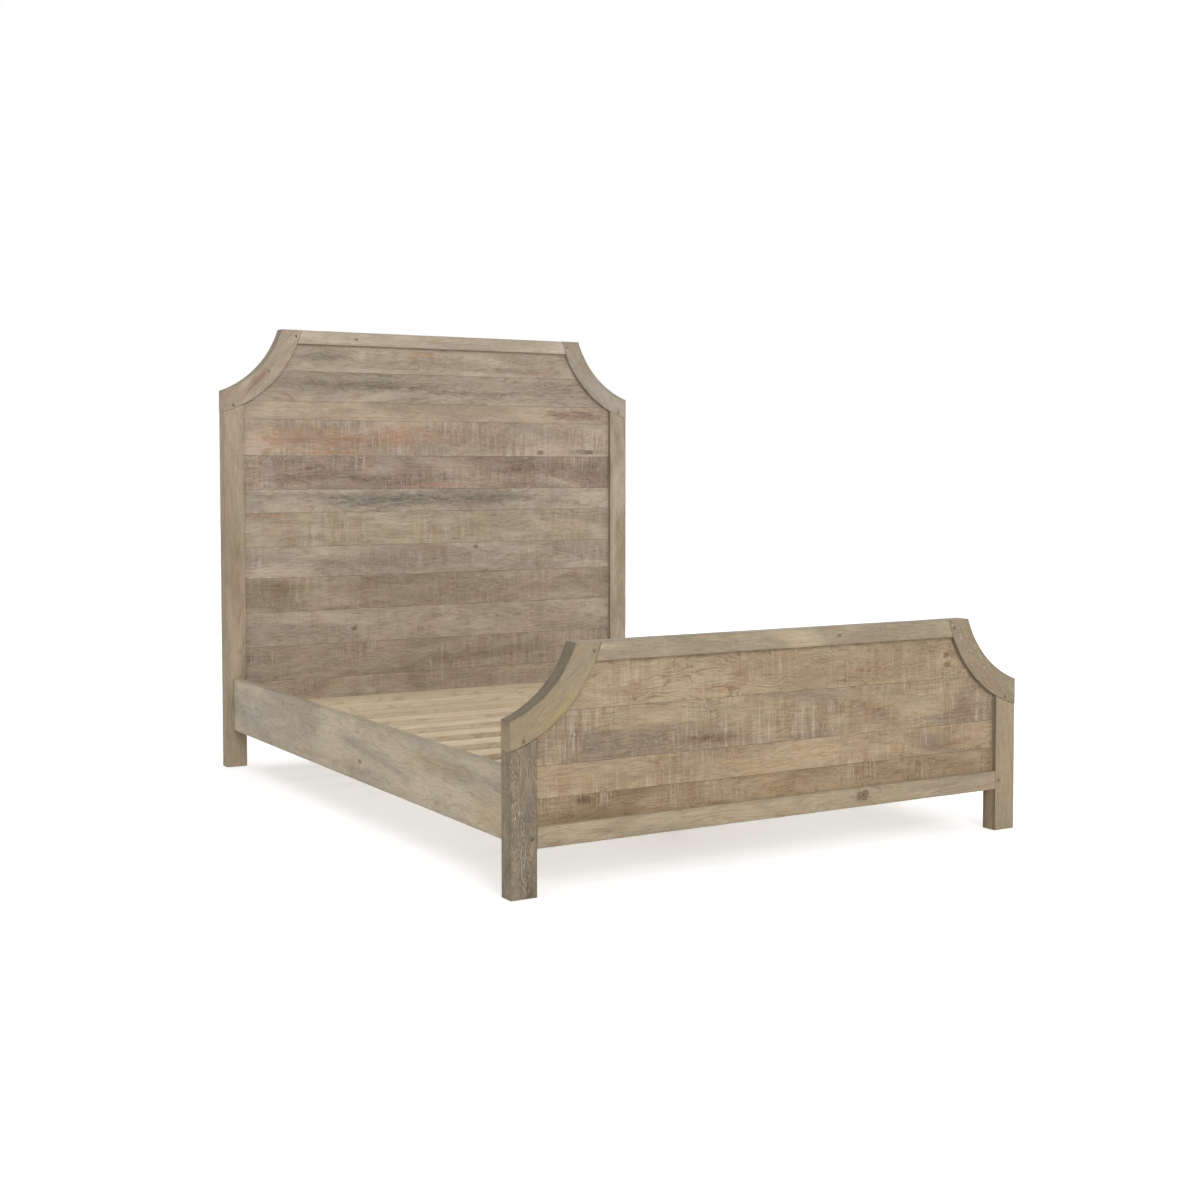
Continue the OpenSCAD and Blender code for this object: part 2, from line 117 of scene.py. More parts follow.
# One group holds the wood's make-up: tone, figure, fibres, pores, saw marks and lime, and the painted shade
# that darkens side faces.
# Its Vector runs along the grain in X, across it in Y and into it in Z, in metres
def woodGroup():
    group = bpy.data.node_groups.new("sawnWood", "ShaderNodeTree")
    sockets = [("Vector", "Vector"), ("Light", "Color"), ("Dark", "Color"), ("Warm", "Color"),
               ("Lime", "Color"), ("Warmth", "Float"), ("Figure", "Float"), ("Fibre", "Float"),
               ("Mottle", "Float"), ("Saw", "Float"), ("Liming", "Float"), ("Grime", "Float"),
               ("Flank", "Float"), ("Lines", "Float"), ("Swirl", "Float")]
    for name, kind in sockets:
        group.interface.new_socket(name, in_out="INPUT", socket_type="NodeSocket" + kind)
    results = [("Color", "Color"), ("Height", "Float"), ("Roughness", "Float"), ("Band", "Float")]
    for name, kind in results:
        group.interface.new_socket(name, in_out="OUTPUT", socket_type="NodeSocket" + kind)
    given = group.nodes.new("NodeGroupInput").outputs
    result = group.nodes.new("NodeGroupOutput").inputs
    vector = given["Vector"]

    def times(a, b):
        return product(group, a, b)

    # noise of one scale, kept between two levels
    def pattern(low, high, *settings):
        return softStep(group, grainNoise(group, vector, *settings), low, high)

    def darken(colour, amount, tint):
        return mixColour(group, amount, colour, tint + (1.0,), "MULTIPLY")

    # broad changes of tone, dabs a few centimetres long, and finer streaks
    broad = pattern(0.34, 0.66, (2.6, 10, 10), 4.0, 0.65, 0.5)
    blotch = pattern(0.46, 0.68, (6, 15, 15), 3.0, 0.6, 0.6)
    mottle = grainNoise(group, vector, (17, 52, 52), 5.0, 0.72, 0.9)
    dab = softStep(group, mottle, 0.50, 0.70)
    paleDab = softStep(group, mottle, 0.46, 0.28)
    streak = pattern(0.40, 0.68, (6, 110, 110), 4.0, 0.7, 0.5)

    # growth lines: contours of the place across the grain, pushed about by slow noise
    drift = grainNoise(group, vector, (3.4, 12, 12), 3.0, 0.55)
    across = addNode(group, "SeparateXYZ", {0: vector}).outputs[1]
    level = total(group, times(across, given["Lines"]), times(drift, given["Swirl"]))
    line = softStep(group, calc(group, "SINE", times(level, 6.2832)), 0.35, 1.0)
    line = times(line, pattern(0.36, 0.60, (9, 22, 22), 3.0))

    # fine fibres and short pores, which hold the lime
    fibre = grainNoise(group, vector, (24, 460, 460), 3.0, 0.65)
    pore = pattern(0.58, 0.72, (75, 900, 900), 1.0)
    poreField = pattern(0.44, 0.62, (9, 30, 30), 2.0)
    pore = times(pore, total(group, poreField, 0.2))

    # saw marks stand across the grain, in fields of their own
    field = pattern(0.38, 0.56, (4.5, 12, 12), 2.0)
    field = times(field, given["Saw"])
    bandNoise = grainNoise(group, vector, (58, 5, 5), 4.0, 0.7, 0.2)
    band = softStep(group, bandNoise, 0.44, 0.58)
    fine = pattern(0.56, 0.72, (230, 9, 9), 2.0, 0.6, 0.15)
    scratch = vectorCalc(group, "ADD", vector, (0.0, 0.0, 3.1))
    turn = addNode(group, "VectorRotate", {"Vector": scratch, "Axis": (0, 0, 1), "Angle": 1.1})
    scratch = softStep(group, grainNoise(group, turn.outputs[0], (22, 300, 60), 1.0), 0.64, 0.74)
    scratch = times(times(scratch, field), softStep(group, mottle, 0.40, 0.55))
    speckle = grainNoise(group, vector, (260, 420, 420), 3.0, 0.75)

    colour = mixColour(group, broad, given["Dark"], given["Light"])
    warmBand = calc(group, "MAXIMUM", blotch, times(band, field))
    colour = mixColour(group, times(warmBand, given["Warmth"]), colour, given["Warm"])
    colour = mixColour(group, times(streak, 0.26), colour, given["Dark"])
    colour = darken(colour, times(dab, given["Mottle"]), (0.52, 0.46, 0.41))
    colour = mixColour(group, times(times(paleDab, given["Mottle"]), 0.42), colour, given["Lime"])
    grown = times(line, given["Figure"])
    colour = darken(colour, grown, (0.52, 0.45, 0.38))
    thread = times(softStep(group, fibre, 0.42, 0.66), given["Fibre"])
    colour = darken(colour, thread, (0.60, 0.56, 0.52))
    kerf = times(times(band, field), 0.50)
    colour = darken(colour, kerf, (0.66, 0.60, 0.55))
    limed = times(times(fine, field), 0.50)
    paleBar = times(softStep(group, bandNoise, 0.40, 0.30), times(field, 0.45))
    for pale in (times(scratch, 0.55), paleBar, times(pore, given["Liming"])):
        limed = calc(group, "MAXIMUM", limed, pale)
    colour = mixColour(group, limed, colour, given["Lime"])
    colour = mixColour(group, times(softStep(group, speckle, 0.54, 0.76), 0.28), colour, given["Lime"])
    colour = darken(colour, times(softStep(group, speckle, 0.46, 0.24), 0.35), (0.66, 0.62, 0.58))
    dirt = times(given["Grime"], softStep(group, speckle, 0.30, 0.62))
    colour = darken(colour, dirt, (0.5, 0.44, 0.38))
    # painted shade: the side and end faces are darkened and cooled by the amount the mesh gives them
    colour = darken(colour, given["Flank"], (0.46, 0.48, 0.52))
    group.links.new(colour, result["Color"])
    group.links.new(softStep(group, bandNoise, 0.42, 0.60), result["Band"])

    # low in the pores and kerfs, high on the late wood
    height = times(fibre, 0.35)
    for part, share in ((pore, -0.35), (kerf, -0.9), (limed, -0.4), (grown, 0.3), (speckle, 0.3),
                        (mottle, 0.4)):
        height = total(group, height, times(part, share))
    group.links.new(height, result["Height"])
    sheen = total(group, times(fibre, 0.22), times(limed, 0.12))
    group.links.new(total(group, sheen, 0.62), result["Roughness"])
    return group


sawnWood = woodGroup()

# Rows of the turn that brings each grain direction to X
grainRows = {
    "X": ((1, 0, 0), (0, 0, 1), (0, -1, 0)),
    "Y": ((0, 1, 0), (0, 0, 1), (1, 0, 0)),
    "Z": ((0, 0, 1), (1, 0, 0), (0, 1, 0)),
    "rising": ((0.707, 0, 0.707), (-0.707, 0, 0.707), (0, -1, 0)),
    "falling": ((0.707, 0, -0.707), (0.707, 0, 0.707), (0, -1, 0)),
    "flatX": ((1, 0, 0), (0, -1, 0), (0, 0, -1)),
}


# A wood finish. look holds the tones and amounts; knots are (along, across, radius)
# and patches (along, across, half length, half width, colour, strength), in metres
def woodMaterial(name, look, grain="X", knots=(), patches=()):
    material, tree, surface = newMaterial(name)
    place = addNode(tree, "TexCoord").outputs["Object"]
    turn = Matrix(grainRows[grain]).to_euler()
    place = addNode(tree, "Mapping", {"Vector": place, "Rotation": turn}).outputs[0]

    pushed = place
    knotMask = None
    for along, across, radius in knots:
        offset = vectorCalc(tree, "SUBTRACT", place, (along, across, 0.0))
        flat = vectorCalc(tree, "MULTIPLY", offset, (0.62, 1.0, 0.0))
        wobble = grainNoise(tree, place, (70, 95, 95), 3.0, 0.7, 0.6)
        reach = addNode(tree, "VectorMath", {0: flat}, operation="LENGTH").outputs["Value"]
        reach = total(tree, reach, product(tree, wobble, radius * 2.2))
        near = softStep(tree, reach, radius * 5.4, radius * 1.9)
        push = vectorCalc(tree, "MULTIPLY", offset, (0.0, -0.72, 0.0))
        strength = addNode(tree, "CombineXYZ", {0: near, 1: near, 2: near}).outputs[0]
        pushed = vectorCalc(tree, "ADD", pushed, vectorCalc(tree, "MULTIPLY", push, strength))
        core = softStep(tree, reach, radius * 2.4, radius * 1.3)
        rings = calc(tree, "SINE", product(tree, reach, 8.0 / radius))
        ringed = total(tree, product(tree, rings, 0.30), 0.74)
        core = product(tree, core, ringed)
        knotMask = core if knotMask is None else calc(tree, "MAXIMUM", knotMask, core)

    draw = random.Random(name)
    shift = [draw.uniform(2, 30) for _ in range(3)]
    moved = vectorCalc(tree, "ADD", pushed, shift)
    edge = addNode(tree, "Attribute", attribute_name="edge").outputs["Fac"]
    group = addNode(tree, "Group", node_tree=sawnWood)
    tree.links.new(moved, group.inputs["Vector"])
    group.inputs["Light"].default_value = linear(toned(look["tone"], 1.07))
    group.inputs["Dark"].default_value = linear(look.get("dark", toned(look["tone"], 0.86)))
    group.inputs["Warm"].default_value = linear(look.get("warm", toned(look["tone"], 0.95)))
    group.inputs["Lime"].default_value = linear(look.get("lime", (206, 196, 178)))
    for key in ("Warmth", "Figure", "Fibre", "Mottle", "Saw", "Liming"):
        group.inputs[key].default_value = look.get(key.lower(), 0.3)
    group.inputs["Lines"].default_value = look.get("lines", 58)      # growth lines in a metre
    group.inputs["Swirl"].default_value = look.get("swirl", 9)       # how far they wander
    tree.links.new(product(tree, edge, look.get("grime", 0.4)), group.inputs["Grime"])
    # painted shade on the side faces, scaled by each piece's own amount
    flank = addNode(tree, "Attribute", attribute_name="flank").outputs["Fac"]
    tree.links.new(product(tree, flank, look.get("flank", 0.35)), group.inputs["Flank"])

    colour = group.outputs["Color"]
    height = group.outputs["Height"]
    base = linear(look["tone"])
    for along, across, halfLength, halfWidth, wanted, strength in patches:
        offset = vectorCalc(tree, "SUBTRACT", place, (along, across, 0.0))
        share = vectorCalc(tree, "DIVIDE", offset, (halfLength, halfWidth, 1000.0))
        reach = addNode(tree, "VectorMath", {0: share}, operation="LENGTH").outputs["Value"]
        ragged = grainNoise(tree, moved, (30, 75, 75), 5.0, 0.75, 0.8)
        reach = total(tree, reach, product(tree, ragged, 2.2))
        mask = product(tree, softStep(tree, reach, 2.25, 1.25), strength)
        bars = product(tree, group.outputs["Band"], 0.75 * look.get("saw", 0.3))
        mask = product(tree, mask, calc(tree, "SUBTRACT", 1.0, bars))
        streaks = softStep(tree, grainNoise(tree, moved, (14, 240, 240), 4.0, 0.75, 0.4), 0.36, 0.56)
        streaks = total(tree, product(tree, streaks, 0.9), 0.35)
        mask = product(tree, mask, streaks)
        mask = addNode(tree, "Clamp", {"Value": mask}).outputs[0]
        tint = [w / b for w, b in zip(linear(wanted)[:3], base)] + [1.0]
        colour = mixColour(tree, mask, colour, tint, "MULTIPLY")
    if knotMask is not None:
        colour = mixColour(tree, knotMask, colour, linear(look.get("knot", (92, 68, 52))))
        height = calc(tree, "SUBTRACT", height, product(tree, knotMask, 0.6))
    tree.links.new(colour, surface.inputs["Base Color"])
    tree.links.new(group.outputs["Roughness"], surface.inputs["Roughness"])
    surface.inputs["Specular IOR Level"].default_value = 0.28
    addBump(tree, surface, height, look.get("bump", 0.7), 0.0012)
    return material


edgeReach = 0.008  # how far an edge's wear reaches into a face


# The outline round a piece, as (a, b, outward a, outward b, nearness to an edge), with
# eased corners. A tongue stands out of the high a side, a groove goes into it or the low one
def outline(low, high, ease, step, highSlot=None, lowSlot=None):
    points = []

    def side(start, end, out, slot=None):
        length = (Vector(end) - Vector(start)).length
        near = [0.0, 0.003, edgeReach]
        plain = length - 2 * edgeReach
        count = max(1, round(plain / step))
        inner = [edgeReach + plain * i / count for i in range(1, count)]
        stops = near + inner + [length - n for n in reversed(near)]
        stops = [stop for stop in stops if 0 <= stop <= length]
        if length < 0.018:
            stops = [0.0, length / 2, length]
        if slot:
            half, depth = slot
            mid = length / 2
            stops = [0.0, mid - half, mid - half, mid + half, mid + half, length]
        for i, stop in enumerate(stops):
            share = stop / length
            a = start[0] + (end[0] - start[0]) * share
            b = start[1] + (end[1] - start[1]) * share
            if slot and i in (2, 3):
                a += out[0] * depth
                b += out[1] * depth
            still = bool(slot) and 0 < i < 5
            away = min(stop, length - stop)
            edge = max(0.0, 1.0 - away / edgeReach)
            points.append((a, b, 0 if still else out[0], 0 if still else out[1], edge))

    def corner(centre, angle):
        for turn in (30, 60):
            out = (math.cos(math.radians(angle + turn)), math.sin(math.radians(angle + turn)))
            points.append((centre[0] + ease * out[0], centre[1] + ease * out[1], *out, 1.0))

    a0, b0 = low
    a1, b1 = high
    side((a0 + ease, b0), (a1 - ease, b0), (0, -1))
    corner((a1 - ease, b0 + ease), -90)
    side((a1, b0 + ease), (a1, b1 - ease), (1, 0), highSlot)
    corner((a1 - ease, b1 - ease), 0)
    side((a1 - ease, b1), (a0 + ease, b1), (0, 1))
    corner((a0 + ease, b1 - ease), 90)
    side((a0, b1 - ease), (a0, b0 + ease), (-1, 0), lowSlot)
    corner((a0 + ease, b0 + ease), 180)
    return points


# Stops along a piece from 0 to 1, as (place, how far the outline draws in), for eased ends
def stationsFor(length, ease, step):
    near = [(0.0, ease), (ease * 0.13 / length, ease * 0.5), (ease * 0.5 / length, ease * 0.13),
            (ease / length, 0.0), (edgeReach / length, 0.0)]
    count = max(2, round((length - 2 * edgeReach) / step))
    span = 1 - 2 * edgeReach / length
    middle = [(edgeReach / length + span * i / count, 0.0) for i in range(1, count)]
    return near + middle + [(1 - s, inset) for s, inset in reversed(near)]


# Skins a piece through its outlines; place turns (share, a, b) into a point. uneven is how
# far the hand-planed faces wander, in metres, broad is the way its show faces look, and the
# other two sides get painted shade, of which the low side has the share outerShade
def sweepPiece(name, outlines, stations, place, uneven=0.0003, broad="b", outerShade=1.0):
    bm = bmesh.new()
    layer = bm.verts.layers.float.new("edge")
    flank = bm.verts.layers.float.new("flank")
    draw = random.Random(name)
    start = Vector([draw.uniform(0, 50) for _ in range(3)])
    rows = []
    for shape, (share, inset) in zip(outlines, stations):
        row = []
        for a, b, outA, outB, edge in shape:
            plain = place(share, a, b)
            wander = noise.noise(plain * 9.0 + start) + 0.5 * noise.noise(plain * 31.0 + start)
            worn = max(0.0, noise.noise(plain * 24.0 - start)) * edge * 1.6
            move = uneven * (wander - worn - 1.1) - inset
            vert = bm.verts.new(place(share, a + outA * move, b + outB * move))
            vert[layer] = edge
            # painted shade: full on the side facing high, the outerShade share of it on the low side, none
            # on the show faces
            side = outA if broad == "b" else outB
            vert[flank] = side if side > 0 else -side * outerShade
            row.append(vert)
        rows.append(row)
    for one, two in zip(rows, rows[1:]):
        for i in range(len(one)):
            j = (i + 1) % len(one)
            bm.faces.new((one[i], one[j], two[j], two[i]))
    caps = [bm.faces.new(rows[0]), bm.faces.new(list(reversed(rows[-1])))]
    bmesh.ops.inset_individual(bm, faces=caps, thickness=0.0012)
    # the end faces get half of the painted side shade
    for cap in caps:
        for vert in cap.verts:
            vert[flank] = 0.5
    bmesh.ops.triangulate(bm, faces=[f for f in bm.faces if len(f.verts) > 4])
    return finishMesh(name, bm)


def finishMesh(name, bm, angle=38):
    bmesh.ops.recalc_face_normals(bm, faces=bm.faces)
    if bm.calc_volume(signed=True) < 0:
        bmesh.ops.reverse_faces(bm, faces=bm.faces)
    mesh = bpy.data.meshes.new(name)
    bm.to_mesh(mesh)
    bm.free()
    mesh.shade_smooth()
    mesh.set_sharp_from_angle(angle=math.radians(angle))
    piece = bpy.data.objects.new(name, mesh)
    bpy.context.scene.collection.objects.link(piece)
    return piece


# Gives a finished piece its material, its body and the CAD node that it stands for
def settle(piece, material, node, body="frame"):
    piece.data.materials.clear()
    piece.data.materials.append(material)
    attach(piece, body)
    if node:
        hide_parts(node)
    return piece


# A straight piece that fills a CAD node's box, with its grain along one axis
def straightPiece(name, node, axis, ease, step, uneven=0.0003, broad="b"):
    low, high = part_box(node)
    other = [i for i in range(3) if i != axis]

    def place(share, a, b):
        point = [0.0, 0.0, 0.0]
        point[axis] = low[axis] + (high[axis] - low[axis]) * share
        point[other[0]] = a
        point[other[1]] = b
        return Vector(point)

    shape = outline([low[i] for i in other], [high[i] for i in other], ease, step)
    stations = stationsFor(high[axis] - low[axis], ease, step)
    return sweepPiece(name, [shape] * len(stations), stations, place, uneven, broad)


# The place of something that stands at a point and looks along a direction
def standing(at, direction):
    return Matrix.Translation(at) @ Vector(direction).to_track_quat("Z", "Y").to_matrix().to_4x4()


# Turns a profile of (radius, height) round its axis; carve moves a point by its angle
def turnSolid(bm, profile, where, segments=24, carve=None):
    def point(radius, height, angle):
        if carve:
            radius, height = carve(radius, height, angle)
        return where @ Vector((radius * math.cos(angle), radius * math.sin(angle), height))

    steps = [2 * math.pi * i / segments for i in range(segments)]
    rings = [[bm.verts.new(point(r, h, angle)) for angle in steps] for r, h in profile]
    for one, two in zip(rings, rings[1:]):
        for i in range(segments):
            j = (i + 1) % segments
            bm.faces.new((one[i], one[j], two[j], two[i]))
    for ring, (_, height) in ((rings[0], profile[0]), (rings[-1], profile[-1])):
        middle = bm.verts.new(point(0.0, height, 0.0))
        for i in range(segments):
            bm.faces.new((ring[i], ring[(i + 1) % segments], middle))


# Cuts round holes, each (mouth, direction, depth, mouth radius, end radius), in a piece
def cutHoles(piece, holes):
    bm = bmesh.new()
    for mouth, direction, depth, wide, narrow in holes:
        grow = (wide - narrow) / depth * 0.001
        profile = [(wide + grow, -0.001), (narrow, depth)]
        turnSolid(bm, profile, standing(mouth, direction), 28)
    cutter = finishMesh("cutter", bm)
    cut = piece.modifiers.new("holes", "BOOLEAN")
    cut.object = cutter
    cut.operation = "DIFFERENCE"
    cut.solver = "MANIFOLD"
    with bpy.context.temp_override(object=piece, active_object=piece):
        bpy.ops.object.modifier_apply(modifier="holes")
    bpy.data.objects.remove(cutter)


# Headboard and footboard: the sizes that both share
scallopWidth = 0.073
grooveDepth = 0.012
grooveHalf = 0.0113  # half the groove's width
faceEase = 0.0022    # how far the corners of posts and rails are eased
jointEase = 0.0002   # where one frame piece meets another, the corner is all but sharp
boards = {"head": {"radius": 0.355, "planks": 12}, "foot": {"radius": 0.294, "planks": 4}}


# A scallop's arcs on the left: the centre that its seam's two ends give, and the radii
def scallopArc(side):
    low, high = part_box(side + "_scallop_left")
    seam = boards[side]["radius"] + scallopWidth
    start = Vector((low[0], low[2]))
    end = Vector((high[0], high[2]))
    middle = (start + end) / 2
    half = (end - start).length / 2
    away = Vector((start.y - end.y, end.x - start.x)).normalized()
    centre = middle + away * math.sqrt(seam ** 2 - half ** 2)
    return centre, boards[side]["radius"], seam


# The seam's height over x, and its x at height z, on the left
def seamHeight(arc, x):
    centre, _, seam = arc
    return centre.y - math.sqrt(seam ** 2 - (x - centre.x) ** 2)


def arcReach(arc, radius, z):
    centre = arc[0]
    drop = centre.y - z
    return centre.x + math.sqrt(radius ** 2 - drop ** 2) if abs(drop) < radius else -9.0


def flip(point, right):
    return Vector((-point[0], point[1], point[2])) if right else Vector(point)


def postPiece(side, right):
    name = side + "Post" + ("Right" if right else "Left")
    low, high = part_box(side + "_post_left")
    arc = scallopArc(side)
    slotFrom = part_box(side + "_bottom_rail")[1][2] - grooveDepth

    def place(share, a, b):
        top = seamHeight(arc, min(max(a, low[0]), high[0]))
        return flip((a, b, low[2] + (top - low[2]) * share), right)

    corners = ((low[0], low[1]), (high[0], high[1]), faceEase, 0.016)
    solid = outline(*corners, (grooveHalf, -0.0001))
    cut = outline(*corners, (grooveHalf, -grooveDepth))
    length = high[2] - low[2]
    stations = stationsFor(length, jointEase, 0.02)
    shapes = [cut if share * length > slotFrom else solid for share, _ in stations]
    return sweepPiece(name, shapes, stations, place, 0.0003, "b", 0.3)


def scallopPiece(side, right):
    name = side + "Scallop" + ("Right" if right else "Left")
    low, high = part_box(side + "_scallop_left")
    centre, inner, seam = scallopArc(side)
    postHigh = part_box(side + "_post_left")[1]
    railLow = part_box(side + "_top_rail")[0]

    def angles(radius):
        first = math.asin((low[0] - centre.x) / radius)
        last = math.acos((centre.y - high[2]) / radius)
        return first, last

    def place(share, a, b):
        first, last = angles(a)
        angle = first + (last - first) * share
        return flip((centre.x + a * math.sin(angle), b, centre.y - a * math.cos(angle)), right)

    corners = ((inner, low[1]), (seam, high[1]), 0.0024, 0.012)
    solid = outline(*corners, (grooveHalf, -0.0001))
    cut = outline(*corners, (grooveHalf, -grooveDepth))
    first, last = angles(seam)
    stations = stationsFor(seam * (last - first), jointEase, 0.010)
    shapes = []
    for share, _ in stations:
        angle = first + (last - first) * share
        x = centre.x + seam * math.sin(angle)
        z = centre.y - seam * math.cos(angle)
        inPanel = x > postHigh[0] - grooveDepth and z < railLow[2] + grooveDepth
        shapes.append(cut if inPanel else solid)
    return sweepPiece(name, shapes, stations, place, 0.0004)


# A piece that runs across between the posts; endAt gives the x of its left end at a height
def crossPiece(name, low, high, length, endAt, eases, step, highSlot=None, lowSlot=None):
    def place(share, a, b):
        end = endAt(a)
        return Vector((end - 2 * end * share, b, a))

    shape = outline((low[2], low[1]), (high[2], high[1]), eases[0], 0.012, highSlot, lowSlot)
    stations = stationsFor(length, eases[1], step)
    return sweepPiece(name, [shape] * len(stations), stations, place)


def railPieces(side):
    arc = scallopArc(side)
    low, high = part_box(side + "_top_rail")
    groove = (grooveHalf, -grooveDepth)
    eases = (faceEase, jointEase)

    def topEnd(z):
        return arcReach(arc, arc[2], min(max(z, low[2]), high[2]))

    top = crossPiece(side + "TopRail", low, high, high[0] - low[0], topEnd, eases, 0.02,
                     None, groove)
    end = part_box(side + "_post_left")[1][0]
    bottom = crossPiece(side + "BottomRail", *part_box(side + "_bottom_rail"), -2 * end,
                        lambda z: end, eases, 0.02, groove)
    return top, bottom


def plankPiece(side, number):
    low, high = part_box(side + "_plank_" + str(number))
    arc = scallopArc(side)
    held = arc[2] - grooveDepth + 0.001
    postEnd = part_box(side + "_post_left")[1][0] - grooveDepth + 0.001
    tongue = 0.007
    ease = 0.0003
    first = number == 1
    last = number == boards[side]["planks"]
    top = None if first else (tongue / 2, tongue)
    foot = None if last else (tongue / 2 + 0.0003, -tongue - 0.001)
    body = (high[0], high[1], high[2] - (0.0 if first else tongue))

    def endAt(z):
        return max(postEnd, arcReach(arc, held, z))

    name = side + "Plank" + str(number)
    return crossPiece(name, low, body, high[0] - low[0], endAt, (ease, ease), 0.012, top, foot)


# flank is the strength of the painted shade on a piece's side faces
frameLook = {"tone": (172, 158, 135), "dark": (150, 136, 114), "warm": (162, 142, 114),
             "warmth": 0.30, "figure": 0.22, "fibre": 0.42, "mottle": 0.20, "saw": 0.10,
             "liming": 0.55, "grime": 0.2, "flank": 0.6}


def lookFrom(base, **changes):
    look = dict(base)
    look.update(changes)
    return look


# What each frame piece changes of frameLook, with its knots and patches; a higher flank paints more shade on
# its sides
frameDetails = {
    "headPostLeft": [dict(tone=(168, 152, 131), figure=0.20, flank=0.4), (),
                     [(0.62, -0.80, 0.20, 0.04, (150, 132, 112), 0.5)]],
    "headPostRight": [dict(tone=(176, 162, 144), figure=0.12, flank=0.9), (), ()],
    "headScallopLeft": [dict(tone=(180, 166, 147), dark=(164, 150, 131), warm=(160, 134, 114),
                             warmth=0.55, figure=0.3),
                        [(0.525, 1.468, 0.004)],
                        [(0.47, 1.475, 0.10, 0.014, (152, 118, 98), 0.6)]],
    "headScallopRight": [dict(tone=(164, 155, 144), warmth=0.15, figure=0.3, mottle=0.3), (), ()],
    "headTopRail": [dict(tone=(190, 177, 160), dark=(172, 159, 141), figure=0.14, warmth=0.2, mottle=0.14),
                    [(-0.33, 1.537, 0.006)],
                    [(0.0, 1.54, 0.06, 0.01, (166, 140, 120), 0.5)]],
    "headBottomRail": [dict(tone=(170, 156, 135)), (), ()],
    "footPostLeft": [dict(tone=(140, 127, 107), dark=(116, 104, 86), figure=0.75, liming=0.9,
                          fibre=0.5, mottle=0.4, lines=150, swirl=34, lime=(204, 196, 180),
                          flank=0.45, warmth=0.15),
                     # the patch darkens the post's foot: painted shade where it stands on the floor
                     (), [(0.05, -0.80, 0.10, 0.06, (122, 110, 92), 0.45)]],
    "footPostRight": [dict(tone=(160, 143, 115), warm=(158, 134, 102), warmth=0.45, flank=0.95),
                      (), ()],
    "footScallopLeft": [dict(tone=(144, 130, 104), warm=(144, 126, 92), warmth=0.5, figure=0.12,
                             flank=0.75, mottle=0.3),
                        (), [(-0.15, 0.814, 0.12, 0.009, (160, 142, 94), 0.6),
                             (-0.21, 0.835, 0.06, 0.03, (146, 128, 90), 0.5)]],
    "footScallopRight": [dict(tone=(136, 121, 97), figure=0.5, liming=0.8, lines=110, flank=0.9),
                         (), ()],
    "footTopRail": [dict(tone=(174, 160, 134), figure=0.16, flank=0.5, warmth=0.2),
                    [(0.18, 0.600, 0.006)], ()],
    "footBottomRail": [dict(tone=(168, 153, 127), figure=0.30, flank=0.1),
                       [(0.269, 0.152, 0.016)], [(-0.55, 0.145, 0.05, 0.014, (140, 122, 98), 0.6)]],
}

plankLook = {"tone": (168, 151, 128), "dark": (140, 124, 104), "warm": (160, 128, 100),
             "warmth": 0.25, "figure": 0.34, "fibre": 0.50, "mottle": 0.46, "saw": 0.55,
             "liming": 0.6, "grime": 0.0, "flank": 0.1}
ash = (130, 119, 106)
slate = (122, 118, 110)
rust = (178, 138, 108)

